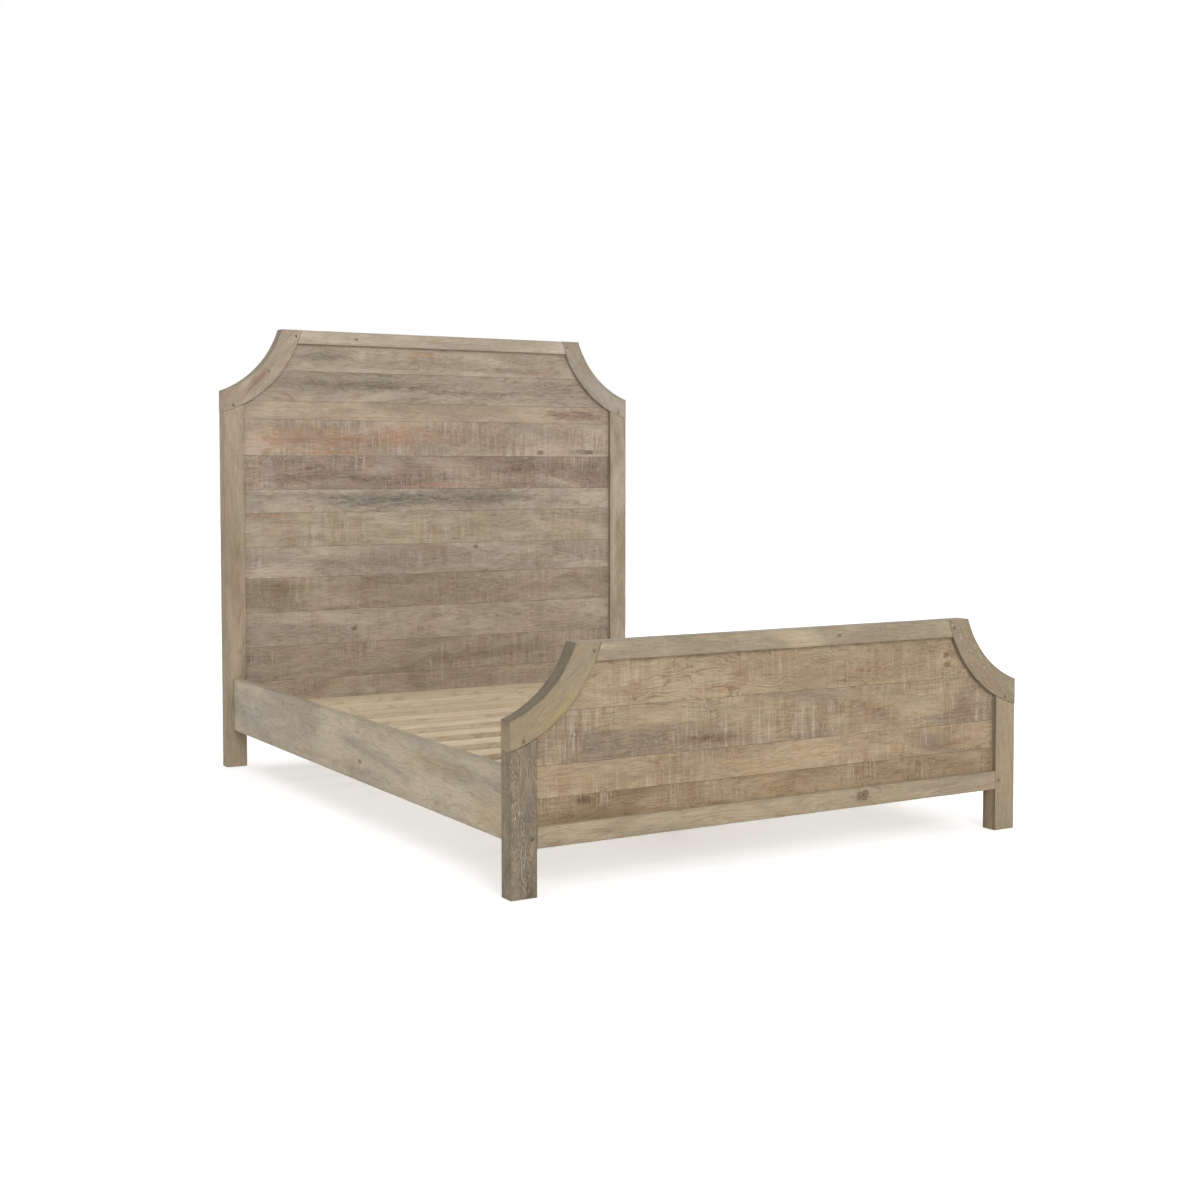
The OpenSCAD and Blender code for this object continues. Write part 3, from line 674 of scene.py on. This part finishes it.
# Each plank from the top down: changes of plankLook, knots, and patches
plankDetails = {
    "head": [
        [dict(tone=(180, 167, 149), dark=(162, 149, 131), saw=0.3, figure=0.40), (),
         [(-0.45, 1.47, 0.14, 0.02, ash, 0.5), (0.30, 1.44, 0.25, 0.012, ash, 0.4),
          (-0.05, 1.49, 0.08, 0.012, (190, 156, 118), 0.6), (0.42, 1.43, 0.06, 0.01, (170, 128, 112), 0.5)]],
        [dict(tone=(177, 163, 146), dark=(156, 143, 127), saw=0.15, figure=0.45, mottle=0.55), (),
         [(-0.25, 1.37, 0.40, 0.022, ash, 0.75), (0.15, 1.35, 0.30, 0.014, ash, 0.65),
          (0.56, 1.37, 0.16, 0.035, ash, 0.6)]],
        [dict(tone=(178, 162, 141), dark=(160, 145, 125), saw=0.08, figure=0.22, mottle=0.36), (),
         [(0.62, 1.275, 0.17, 0.024, (134, 108, 96), 0.85),
          (-0.30, 1.25, 0.3, 0.006, (160, 128, 108), 0.4)]],
        [dict(tone=(182, 166, 147), saw=0.95, warm=(174, 148, 124), warmth=0.35,
              figure=0.26, mottle=0.5, dark=(162, 147, 129), lime=(204, 200, 194)),
         [(0.452, 1.126, 0.010)],
         [(-0.50, 1.17, 0.34, 0.060, rust, 0.85), (-0.14, 1.18, 0.22, 0.05, rust, 0.7),
          (0.12, 1.18, 0.12, 0.05, rust, 0.3),
          (-0.42, 1.12, 0.16, 0.008, (190, 138, 98), 0.7), (0.66, 1.128, 0.10, 0.010, (98, 84, 70), 0.8)]],
        [dict(tone=(172, 156, 139), dark=(138, 122, 108), saw=0.9, liming=0.9, fibre=0.5,
              mottle=0.6), (),
         [(-0.56, 1.05, 0.24, 0.05, (136, 116, 104), 0.6), (0.36, 1.06, 0.14, 0.05, (134, 116, 106), 0.6),
          (0.66, 1.05, 0.10, 0.05, (144, 130, 122), 0.5), (-0.02, 1.00, 0.18, 0.012, (168, 112, 100), 0.6)]],
        [dict(tone=(180, 167, 150), dark=(154, 143, 129), saw=0.35, liming=0.8, mottle=0.6), (),
         [(-0.20, 0.945, 0.34, 0.030, slate, 0.85), (0.20, 0.95, 0.30, 0.024, slate, 0.6)]],
        [dict(tone=(181, 168, 149), dark=(158, 145, 126), warm=(178, 160, 128), warmth=0.45, saw=0.85), (),
         [(-0.66, 0.895, 0.12, 0.014, (186, 144, 110), 0.6),
          (-0.05, 0.82, 0.22, 0.010, (150, 124, 106), 0.4),
          (-0.62, 0.84, 0.12, 0.035, (158, 138, 120), 0.5),
          (0.56, 0.84, 0.14, 0.035, (158, 132, 110), 0.45)]],
        [dict(tone=(182, 169, 153), dark=(160, 147, 131), saw=0.6), [(0.165, 0.764, 0.008)],
         [(-0.30, 0.72, 0.30, 0.03, (142, 130, 114), 0.5)]],
        [dict(tone=(168, 154, 135), dark=(144, 130, 111), saw=0.5), (),
         [(-0.60, 0.63, 0.14, 0.03, (152, 136, 100), 0.5)]],
        [dict(tone=(180, 166, 149), dark=(160, 147, 130), saw=0.4), [(-0.34, 0.47, 0.009)], ()],
        [dict(tone=(164, 150, 131), dark=(142, 129, 111), saw=0.7), (), ()],
        [dict(tone=(168, 153, 132), dark=(148, 133, 113), saw=0.5), (), ()],
    ],
    "foot": [
        [dict(tone=(168, 151, 123), dark=(155, 137, 107), figure=0.6, saw=0.6, warmth=0.30,
              swirl=15, lines=75),
         [(0.582, 0.522, 0.008), (0.586, 0.494, 0.009)],
         [(-0.48, 0.49, 0.05, 0.03, (150, 124, 96), 0.8), (-0.14, 0.51, 0.035, 0.035, (146, 116, 90), 0.75),
          (-0.20, 0.480, 0.12, 0.014, (150, 120, 88), 0.8), (0.53, 0.54, 0.10, 0.02, (134, 112, 92), 0.6),
          (0.14, 0.53, 0.06, 0.012, (134, 108, 84), 0.6), (0.30, 0.50, 0.14, 0.012, (176, 140, 104), 0.5)]],
        [dict(tone=(166, 148, 120), saw=0.9, warm=(160, 134, 106), warmth=0.4), (),
         [(-0.52, 0.37, 0.16, 0.045, (138, 123, 104), 0.75),
          (-0.24, 0.350, 0.10, 0.018, (130, 101, 74), 1.0),
          (0.30, 0.38, 0.08, 0.05, (148, 118, 94), 0.75), (0.64, 0.37, 0.10, 0.05, (144, 114, 90), 0.6),
          (0.05, 0.335, 0.20, 0.012, (158, 136, 120), 0.5)]],
        [dict(tone=(173, 152, 122), saw=0.75, warm=(178, 148, 108), warmth=0.5, mottle=0.34), (),
         [(-0.68, 0.28, 0.06, 0.04, (156, 124, 96), 0.6), (0.60, 0.265, 0.14, 0.016, (150, 122, 92), 0.6)]],
        [dict(tone=(158, 138, 108), dark=(132, 112, 84), saw=0.85, warm=(150, 122, 84), warmth=0.45),
         [(-0.622, 0.225, 0.012)],
         [(-0.66, 0.20, 0.10, 0.05, (134, 116, 90), 0.6), (-0.30, 0.20, 0.10, 0.03, (134, 112, 84), 0.5),
          (0.02, 0.20, 0.12, 0.03, (142, 112, 82), 0.6), (0.45, 0.21, 0.2, 0.02, (168, 150, 118), 0.6)]],
    ],
}


# Pegs: where each goes in, across from the left post's outer side, and up
pegSpot = {"overSeam": 0.011, "underTop": 0.024, "inScallop": 0.014, "inPost": 0.013,
           "upRail": 0.025}


def pegPlaces(side):
    low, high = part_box(side + "_post_left")
    arc = scallopArc(side)
    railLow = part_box(side + "_bottom_rail")[0]
    middle = (low[0] + high[0]) / 2
    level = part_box(side + "_top_rail")[1][2] - pegSpot["underTop"]
    spots = [("Post", middle, seamHeight(arc, middle) + pegSpot["overSeam"]),
             ("Scallop", arcReach(arc, arc[2], level) - pegSpot["inScallop"], level),
             ("Rail", high[0] - pegSpot["inPost"], railLow[2] + pegSpot["upRail"])]
    return [(kind, sign * x, low[1], z) for kind, x, z in spots for sign in (1, -1)]


# Bores for pegs, screw heads and feet, as (depth, mouth radius, end radius)
bores = {"peg": (0.006, 0.0042, 0.0042), "slat": (0.0026, 0.0043, 0.0021),
         "leg": (0.050, 0.0062, 0.0062)}


def buildBoards():
    for side in boards:
        made = {}
        for right, label, grain in ((False, "Left", "rising"), (True, "Right", "falling")):
            hand = label.lower()
            made["Post" + label] = (postPiece(side, right), side + "_post_" + hand, "Z")
            made["Scallop" + label] = (scallopPiece(side, right), side + "_scallop_" + hand, grain)
        for key, piece in zip(("Top", "Bottom"), railPieces(side)):
            made[key + "Rail"] = (piece, side + "_" + key.lower() + "_rail", "X")
        holes = {}
        for kind, x, y, z in pegPlaces(side):
            label = "Right" if x > 0 else "Left"
            owner = ("Post" if kind == "Rail" else "Scallop") + label
            hole = ((x, y, z), (0, 1, 0), *bores["peg"])
            holes.setdefault(owner, []).append(hole)
        for key, (piece, node, grain) in made.items():
            if key in holes:
                cutHoles(piece, holes[key])
            changes, knots, patches = frameDetails[side + key]
            look = lookFrom(frameLook, **changes)
            material = woodMaterial(piece.name, look, grain, knots, patches)
            settle(piece, material, node)
        for number, (changes, knots, patches) in enumerate(plankDetails[side], 1):
            piece = plankPiece(side, number)
            look = lookFrom(plankLook, **changes)
            material = woodMaterial(piece.name, look, "X", knots, patches)
            node = side + "_plank_" + str(number)
            settle(piece, material, node)
        print(side + "board built")


buildBoards()


# Dark hardwood pegs, a hair below the face, with ends worn slightly round
def pegFinish():
    material, tree, surface = newMaterial("pegEndGrain")
    place = addNode(tree, "TexCoord").outputs["Object"]
    cells = addNode(tree, "TexVoronoi", {"Vector": place, "Scale": 2600.0}).outputs["Distance"]
    cloud = grainNoise(tree, place, (320, 320, 320), 4.0, 0.7)
    worn = softStep(tree, grainNoise(tree, place, (2.2, 2.2, 2.2), 1.0), 0.40, 0.60)
    dark = mixColour(tree, worn, linear((70, 54, 42)), linear((122, 104, 82)))
    colour = mixColour(tree, softStep(tree, cloud, 0.35, 0.65), dark, linear((132, 112, 90)))
    pores = product(tree, softStep(tree, cells, 0.35, 0.10), 0.6)
    colour = mixColour(tree, pores, colour, linear((36, 27, 20)))
    tree.links.new(colour, surface.inputs["Base Color"])
    tree.links.new(total(tree, product(tree, cloud, 0.3), 0.55), surface.inputs["Roughness"])
    addBump(tree, surface, cells, 0.5, 0.0004)
    return material


def buildPegs():
    peg = {"radius": 0.0039, "sunk": 0.0005, "length": 0.034, "crown": 0.0004}
    bm = bmesh.new()
    radius = peg["radius"]
    profile = [(radius * share, peg["sunk"] + peg["crown"] * share ** 3) for share in (0.3, 0.6, 0.85)]
    profile += [(radius, peg["sunk"] + peg["crown"] * 2.2), (radius, peg["length"]),
                (radius * 0.8, peg["length"] + 0.001)]

    # split by hand, so the sides aren't quite round
    def carve(r, h, angle):
        return r * (1 - 0.035 * (1 + math.cos(7 * angle + 900 * h))), h

    for side in boards:
        for _, x, y, z in pegPlaces(side):
            turnSolid(bm, profile, standing((x, y, z), (0, 1, 0)), 28, carve)
    settle(finishMesh("jointPegs", bm), pegFinish(), "joint_pegs")
    print("pegs in")


buildPegs()


# Side rails, and the pale wood of the ledgers, slats, beam and legs
railLook = lookFrom(frameLook, tone=(186, 173, 152), dark=(168, 156, 137), warm=(178, 156, 122),
                    warmth=0.25, figure=0.32, saw=0.12, flank=0.3, mottle=0.14)
# How far the edges of the plain pieces are eased
eased = {"rail": 0.0025, "ledger": 0.0015, "slat": 0.0015, "beam": 0.002, "leg": 0.003}
deckLook = {"tone": (214, 200, 174), "dark": (202, 186, 158), "warm": (206, 180, 142),
            "warmth": 0.35, "figure": 0.40, "fibre": 0.18, "mottle": 0.10, "saw": 0.12,
            "liming": 0.1, "lime": (226, 210, 178), "knot": (128, 88, 54), "flank": 0.05,
            "bump": 0.4}


# Where a CAD node's separate fasteners stand: (head's middle, direction, length, radius)
def fastenerSpots(node):
    bm = bmesh.new()
    bm.from_mesh(nodes[node].data)
    bmesh.ops.remove_doubles(bm, verts=bm.verts, dist=0.00002)
    seen = set()
    spots = []
    for first in bm.verts:
        if first in seen:
            continue
        group = [first]
        seen.add(first)
        for vert in group:
            for edge in vert.link_edges:
                other = edge.other_vert(vert)
                if other not in seen:
                    seen.add(other)
                    group.append(other)
        points = [nodes[node].matrix_world @ vert.co for vert in group]
        low = Vector([min(p[i] for p in points) for i in range(3)])
        high = Vector([max(p[i] for p in points) for i in range(3)])
        axis = max(range(3), key=lambda i: high[i] - low[i])
        middle = (low + high) / 2
        radius = max(high[i] - low[i] for i in range(3) if i != axis) / 2

        def reach(end):
            near = [p for p in points if abs(p[axis] - end) < 0.0005]
            offsets = [p - middle for p in near]
            return max(math.hypot(*[o[i] for i in range(3) if i != axis]) for o in offsets)

        headAtLow = reach(low[axis]) > reach(high[axis])
        head = middle.copy()
        head[axis] = low[axis] if headAtLow else high[axis]
        direction = Vector((0, 0, 0))
        direction[axis] = 1 if headAtLow else -1
        spots.append((head, direction, high[axis] - low[axis], radius))
    bm.free()
    return spots


# A thread on a stem: how near the axis a point lies at its height and angle
def threaded(r, h, angle, pitch):
    turn = (h / pitch - angle / (2 * math.pi)) % 1.0
    return r - 0.0006 * (1 - abs(2 * turn - 1))


# Wood screws with a cross recess and a cut thread, for every screw in a node
def buildScrews(node, name, countersunk, shank):
    headDeep = 0.0024
    pitch = 0.0018
    bm = bmesh.new()
    for head, direction, length, radius in fastenerSpots(node):
        if countersunk:
            profile = [(radius * share, 0.0) for share in (0.12, 0.3, 0.46, 0.6, 0.8, 0.98)]
            profile += [(radius, 0.0003), (shank, headDeep)]
        else:
            profile = [(radius * share, 0.0011 * share ** 3) for share in (0.12, 0.3, 0.46, 0.6, 0.8)]
            profile += [(radius * 0.95, 0.0012), (radius, 0.0017), (radius, headDeep), (shank, headDeep)]
        start = headDeep + 0.002
        finish = length - 0.005
        count = int((finish - start) / pitch * 5)
        profile += [(shank, start + (finish - start) * i / count) for i in range(count + 1)]
        profile += [(shank * 0.7, length - 0.0025), (0.0002, length)]

        def carve(r, h, angle):
            if h <= 0.0012 and r < radius * 0.55:
                arm = min(abs(math.sin(angle)), abs(math.cos(angle))) * r
                return r, h + 0.0014 * max(0.0, 1 - arm / (radius * 0.2))
            if start < h < finish:
                return threaded(r, h, angle, pitch), h
            return r, h

        turnSolid(bm, profile, standing(head, direction), 16, carve)
    settle(finishMesh(name, bm, 50), metals["zinc"], node)


# A metal or coated finish with a fine skin, soft stains and scuffs
def metalFinish(look):
    material, tree, surface = newMaterial(look["name"])
    place = addNode(tree, "TexCoord").outputs["Object"]
    stain = grainNoise(tree, place, (28, 28, 28), 4.0, 0.6, 0.4)
    skin = grainNoise(tree, place, (look["skin"],) * 3, 2.0, 0.6)
    scuff = softStep(tree, grainNoise(tree, place, (260, 260, 36), 2.0), 0.62, 0.72)
    colour = mixColour(tree, softStep(tree, stain, 0.35, 0.65), linear(look["colour"]),
                       linear(look["stain"]))
    colour = mixColour(tree, product(tree, scuff, look["scuff"]), colour, linear(look["worn"]))
    tree.links.new(colour, surface.inputs["Base Color"])
    rough = total(tree, product(tree, stain, 0.25), look["rough"] - 0.12)
    rough = total(tree, rough, product(tree, scuff, 0.12))
    tree.links.new(rough, surface.inputs["Roughness"])
    surface.inputs["Metallic"].default_value = look["metal"]
    addBump(tree, surface, skin, look["bump"], 0.0003)
    return material


metalLooks = {
    "black": dict(name="blackCoat", colour=(40, 40, 41), stain=(50, 49, 48), worn=(92, 88, 84),
                  skin=900, scuff=0.35, rough=0.50, metal=0.0, bump=0.6),
    "zinc": dict(name="zincPlate", colour=(190, 188, 180), stain=(172, 166, 148),
                 worn=(214, 212, 206), skin=2400, scuff=0.5, rough=0.36, metal=1.0, bump=0.25),
    "brass": dict(name="brassInsert", colour=(196, 168, 104), stain=(164, 132, 76),
                  worn=(222, 200, 142), skin=2400, scuff=0.5, rough=0.38, metal=1.0, bump=0.25),
    "nylon": dict(name="footNylon", colour=(34, 34, 35), stain=(42, 41, 40), worn=(78, 76, 74),
                  skin=1500, scuff=0.3, rough=0.58, metal=0.0, bump=0.4),
}
metals = {key: metalFinish(look) for key, look in metalLooks.items()}


def buildRails():
    knots = {"Left": [(-0.10, 0.19, 0.008)], "Right": [(0.42, 0.26, 0.009)]}
    patches = {
        "Left": [(0.80, 0.22, 0.35, 0.08, (172, 164, 154), 0.7),
                 (-0.60, 0.26, 0.30, 0.03, (180, 158, 124), 0.5),
                 (-0.95, 0.18, 0.16, 0.06, (182, 160, 124), 0.5),
                 (0.2, 0.16, 0.4, 0.02, (160, 144, 124), 0.5)],
        "Right": [(-0.30, 0.20, 0.40, 0.03, (156, 136, 110), 0.5)],
    }
    for label in ("Left", "Right"):
        side = label.lower()
        piece = straightPiece("sideRail" + label, "side_rail_" + side, 1, eased["rail"], 0.014,
                              0.0004, "a")
        material = woodMaterial(piece.name, railLook, "Y", knots[label], patches[label])
        settle(piece, material, "side_rail_" + side)
        ledger = straightPiece("ledger" + label, "ledger_" + side, 1, eased["ledger"], 0.02)
        inward = (1, 0, 0) if label == "Right" else (-1, 0, 0)
        holes = []
        for head, _, _, radius in fastenerSpots("ledger_screws"):
            if (head.x > 0) == (label == "Right"):
                holes.append((head, inward, 0.0024, radius + 0.0002, 0.0026))
        cutHoles(ledger, holes)
        settle(ledger, woodMaterial(ledger.name, deckLook, "Y"), "ledger_" + side)
    buildScrews("ledger_screws", "ledgerScrews", True, 0.0025)
    print("side rails and ledgers built")


buildRails()


# Slatted deck, centre beam and its legs
slatTones = [(210, 196, 168), (202, 186, 156), (214, 200, 174), (206, 190, 162), (198, 182, 150)]


def buildDeck():
    draw = random.Random(5)
    screws = fastenerSpots("slat_screws")
    for number in range(1, 12):
        node = "slat_" + str(number)
        low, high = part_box(node)
        piece = straightPiece("slat" + str(number), node, 0, eased["slat"], 0.02)
        heads = [head for head, _, _, _ in screws if low[1] < head.y < high[1]]
        cutHoles(piece, [(head, (0, 0, -1), *bores["slat"]) for head in heads])
        knot = (draw.uniform(-0.6, 0.6), -(low[1] + high[1]) / 2, 0.010)
        look = lookFrom(deckLook, tone=slatTones[number % len(slatTones)])
        material = woodMaterial(piece.name, look, "flatX", [knot])
        settle(piece, material, node)
    buildScrews("slat_screws", "slatScrews", True, 0.002)
    beam = straightPiece("centreBeam", "centre_beam", 1, eased["beam"], 0.02)
    settle(beam, woodMaterial("centreBeam", deckLook, "Y"), "centre_beam")
    for number in (1, 2, 3):
        node = "centre_leg_" + str(number)
        leg = straightPiece("centreLeg" + str(number), node, 2, eased["leg"], 0.015)
        low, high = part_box(node)
        bottom = ((low[0] + high[0]) / 2, (low[1] + high[1]) / 2, low[2])
        cutHoles(leg, [(bottom, (0, 0, 1), *bores["leg"])])
        look = lookFrom(deckLook, tone=(202, 187, 158))
        settle(leg, woodMaterial(leg.name, look, "Z"), node)
    print("deck, beam and legs built")


buildDeck()


# Levelling feet: a ribbed nylon pad on a threaded steel stem, each on its own body
def buildFeet():
    foot = {"padHeight": 0.008, "padRadius": 0.019, "neck": 0.016, "ribs": 32, "ribDepth": 0.0005,
            "stem": 0.004, "pitch": 0.00125}

    def rib(r, h, angle):
        inGrip = 0.0025 < h < 0.0068 and r > foot["neck"]
        return r - (foot["ribDepth"] * (1 + math.cos(foot["ribs"] * angle)) if inGrip else 0.0), h

    def thread(r, h, angle):
        return threaded(r, h, angle, foot["pitch"]), h

    for number in (1, 2, 3):
        node = "levelling_foot_" + str(number)
        low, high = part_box(node)
        base = Matrix.Translation(((low[0] + high[0]) / 2, (low[1] + high[1]) / 2, 0.0))
        wide = foot["padRadius"]
        pad = bmesh.new()
        profile = [(wide - 0.004, 0.0), (wide - 0.001, 0.0), (wide - 0.0003, 0.0003), (wide, 0.001)]
        profile += [(wide - 0.0004 * i, 0.001 + 0.00096 * i) for i in range(1, 7)]
        top = foot["padHeight"]
        neck = foot["neck"]
        profile += [(neck - 0.0008, top - 0.0004), (neck - 0.003, top), (0.008, top - 0.0006), (0.0052, top)]
        turnSolid(pad, profile, base, 128, rib)
        settle(finishMesh("footPad" + str(number), pad), metals["nylon"], node, node)
        stem = bmesh.new()
        start = top - 0.001
        span = high[2] - 0.001 - start
        count = int(span / foot["pitch"] * 5)
        rows = [(foot["stem"], start + span * i / count) for i in range(count + 1)]
        turnSolid(stem, rows + [(foot["stem"] * 0.75, high[2])], base, 24, thread)
        settle(finishMesh("footStem" + str(number), stem, 60), metals["zinc"], None, node)
    print("levelling feet built")


buildFeet()


# Gives a CAD node its finish and breaks its sharp corners
def dressNode(node, material, bevel):
    piece = nodes[node]
    piece.data.materials.clear()
    piece.data.materials.append(material)
    rounded = piece.modifiers.new("softEdges", "BEVEL")
    rounded.width = bevel
    rounded.segments = 2
    rounded.limit_method = "ANGLE"
    rounded.angle_limit = math.radians(40)


def buildFittings():
    finishes = (("corner_brackets", "black", 0.0005), ("beam_hangers", "black", 0.0005),
                ("rail_bolts", "black", 0.0003), ("threaded_inserts", "brass", 0.0003),
                ("leg_studs", "zinc", 0.0003))
    for node, finish, bevel in finishes:
        dressNode(node, metals[finish], bevel)
    dressNode("loose_tenons", woodMaterial("looseTenon", deckLook, "Z"), 0.001)
    buildScrews("bracket_screws", "bracketScrews", False, 0.0025)
    print("steel fittings finished")


buildFittings()


# Where the camera stands, how it is turned in degrees, and its lens
view = {"at": (-2.7112, -4.5842, 1.0372), "turn": 29.598, "tip": -2.572, "roll": -0.124,
        "lens": 49.34, "shift": (0.0419, -0.0425)}


def addCamera():
    turn = math.radians(view["turn"])
    tip = math.radians(view["tip"])
    roll = math.radians(view["roll"])
    ahead = Vector((math.sin(turn) * math.cos(tip), math.cos(turn) * math.cos(tip), math.sin(tip)))
    right = Vector((math.cos(turn), -math.sin(turn), 0.0))
    up = right.cross(ahead)
    across = right * math.cos(roll) + up * math.sin(roll)
    upward = up * math.cos(roll) - right * math.sin(roll)
    camera = bpy.data.objects.new("camera", bpy.data.cameras.new("camera"))
    rows = Matrix((across, upward, -ahead)).transposed()
    camera.matrix_world = Matrix.Translation(view["at"]) @ rows.to_4x4()
    camera.data.sensor_width = 36
    camera.data.lens = view["lens"]
    camera.data.shift_x, camera.data.shift_y = view["shift"]
    bpy.context.scene.collection.objects.link(camera)
    bpy.context.scene.camera = camera


addCamera()

# Strengths of the world, the lamps and the floor's white
light = {"world": 0.80, "key": 830.0, "back": 70.0, "floor": 0.36}


def addLamp(name, at, target, size, power):
    lamp = bpy.data.objects.new(name, bpy.data.lights.new(name, "AREA"))
    lamp.data.shape = "DISK"
    lamp.data.size = size
    lamp.data.energy = power
    lamp.location = at
    lamp.rotation_euler = (Vector(target) - Vector(at)).to_track_quat("-Z", "Y").to_euler()
    bpy.context.scene.collection.objects.link(lamp)


# 1 where the camera looks, straight or by a reflection or through glass, and 0 for light
def seenByCamera(tree):
    path = addNode(tree, "LightPath").outputs
    seen = calc(tree, "MAXIMUM", path["Is Camera Ray"], path["Is Glossy Ray"])
    return calc(tree, "MAXIMUM", seen, path["Is Transmission Ray"])


def addStudio():
    scene = bpy.context.scene
    scene.view_settings.view_transform = "Standard"
    world = bpy.data.worlds.new("studio")
    scene.world = world
    world.use_nodes = True
    tree = world.node_tree
    tree.nodes.clear()
    plain = addNode(tree, "Background", {"Color": (1, 1, 1, 1), "Strength": light["world"]})
    white = addNode(tree, "Background", {"Color": (1, 1, 1, 1), "Strength": 1.0})
    mix = addNode(tree, "MixShader", {0: seenByCamera(tree), 1: plain.outputs[0], 2: white.outputs[0]})
    addNode(tree, "OutputWorld", {"Surface": mix.outputs[0]})
    addLamp("key", (-3.4, -14.0, 7.6), (0, 0, 0.7), 7.0, light["key"])
    addLamp("back", (3.4, 3.6, 3.2), (0, 0, 0.6), 3.0, light["back"])

    bm = bmesh.new()
    bmesh.ops.create_grid(bm, x_segments=8, y_segments=8, size=30)
    floor = finishMesh("floor", bm)
    floor.location = (0, 0, -0.0005)
    material, tree, surface = newMaterial("paleFloor")
    place = addNode(tree, "TexCoord").outputs["Object"]
    cloud = grainNoise(tree, place, (1.5, 1.5, 1.5), 3.0)
    colour = mixColour(tree, cloud, (0.90, 0.90, 0.895, 1), (0.92, 0.92, 0.915, 1))
    tree.links.new(colour, surface.inputs["Base Color"])
    surface.inputs["Roughness"].default_value = 0.9
    surface.inputs["Specular IOR Level"].default_value = 0.1
    surface.inputs["Emission Color"].default_value = (1, 1, 1, 1)
    glow = product(tree, seenByCamera(tree), light["floor"])
    tree.links.new(glow, surface.inputs["Emission Strength"])
    floor.data.materials.append(material)
    print("camera, light and floor set")


addStudio()
